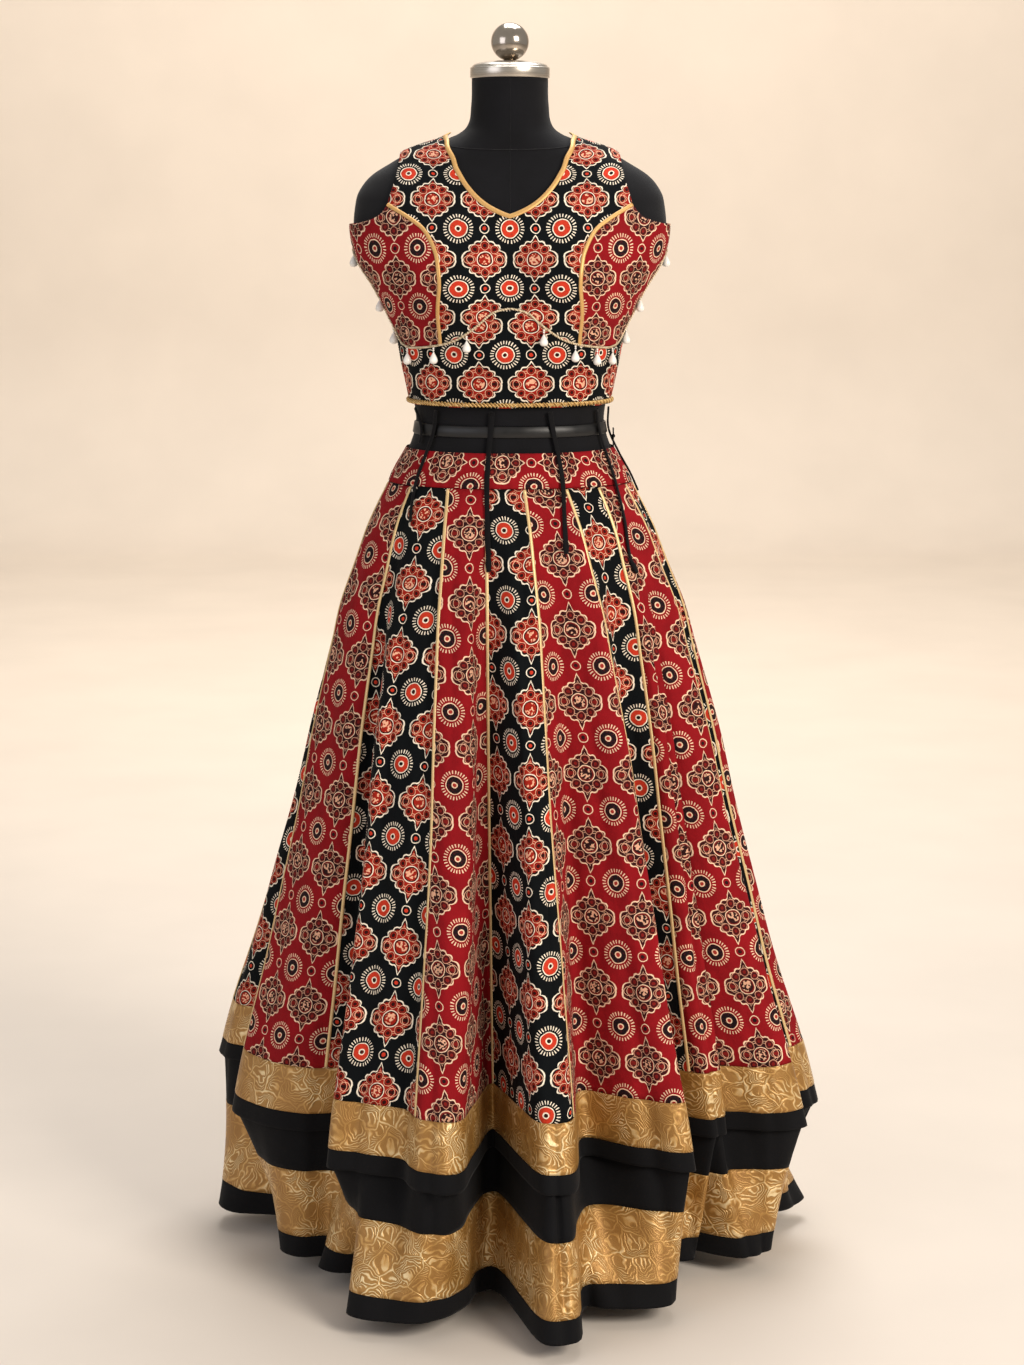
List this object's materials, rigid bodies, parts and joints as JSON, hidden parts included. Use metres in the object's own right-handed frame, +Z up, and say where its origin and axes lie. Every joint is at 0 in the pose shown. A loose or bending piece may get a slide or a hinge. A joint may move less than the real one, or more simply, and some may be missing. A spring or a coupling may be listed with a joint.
{
  "type": "lehenga choli on dress form",
  "caption": "Fitted V-neck blouse with cap sleeves over a long flared skirt of many panels with two gold-bordered tiers, worn on a limbless dress form that stands on a round base",
  "frame": {"origin": "centre of the stand's base on the floor", "axes": "+Z up, the front of the blouse faces -Y, +X towards the right of the picture"},
  "size_m": [0.777, 0.7676, 1.538],
  "materials": {
    "black_print": "matt cotton with a block print in cream, rust red and orange",
    "red_print": "matt cotton with a block print in cream and near-black",
    "black_cloth": "matt black cotton",
    "gold_brocade": "antique gold brocade with a raised leaf pattern, soft sheen",
    "gold_piping": "gold cord and braid with a soft sheen",
    "white_drop": "glossy white",
    "form_jersey": "matt black knitted cover",
    "cap_metal": "brushed and polished nickel",
    "stand_metal": "dark satin paint"
  },
  "bodies": {
    "root": {"choli_back": "black_print", "choli_front": "black_print", "choli_midriff_back": "black_print", "choli_midriff_front": "black_print", "choli_side_back_left": "red_print", "choli_side_back_right": "red_print", "choli_side_front_left": "red_print", "choli_side_front_right": "red_print", "cuff_trim_left": "white_drop", "cuff_trim_right": "white_drop", "form_body": "form_jersey", "form_finial": "cap_metal", "form_neck_cap": "cap_metal", "form_stand": "stand_metal", "form_waist_tape": "stand_metal", "hem_braid": "gold_piping", "lehenga_panel_01": "black_print", "lehenga_panel_02": "red_print", "lehenga_panel_03": "black_print", "lehenga_panel_04": "red_print", "lehenga_panel_05": "black_print", "lehenga_panel_06": "red_print", "lehenga_panel_07": "black_print", "lehenga_panel_08": "red_print", "lehenga_panel_09": "black_print", "lehenga_panel_10": "red_print", "lehenga_panel_11": "black_print", "lehenga_panel_12": "red_print", "lehenga_panel_13": "black_print", "lehenga_panel_14": "red_print", "lehenga_panel_15": "black_print", "lehenga_panel_16": "red_print", "lehenga_panel_17": "black_print", "lehenga_panel_18": "red_print", "lehenga_waistband": "red_print", "lower_binding": "black_cloth", "lower_border": "gold_brocade", "lower_flounce": "black_cloth", "neck_piping": "gold_piping", "princess_piping_back_left": "gold_piping", "princess_piping_back_right": "gold_piping", "princess_piping_front_left": "gold_piping", "princess_piping_front_right": "gold_piping", "tie_front_1": "black_cloth", "tie_front_2": "black_cloth", "tie_front_3": "black_cloth", "tie_front_4": "black_cloth", "tie_side_left": "black_cloth", "tie_side_right": "black_cloth", "underbust_trim_back": "white_drop", "underbust_trim_front": "white_drop", "upper_binding": "black_cloth", "upper_border": "gold_brocade"}
  },
  "joints": []
}
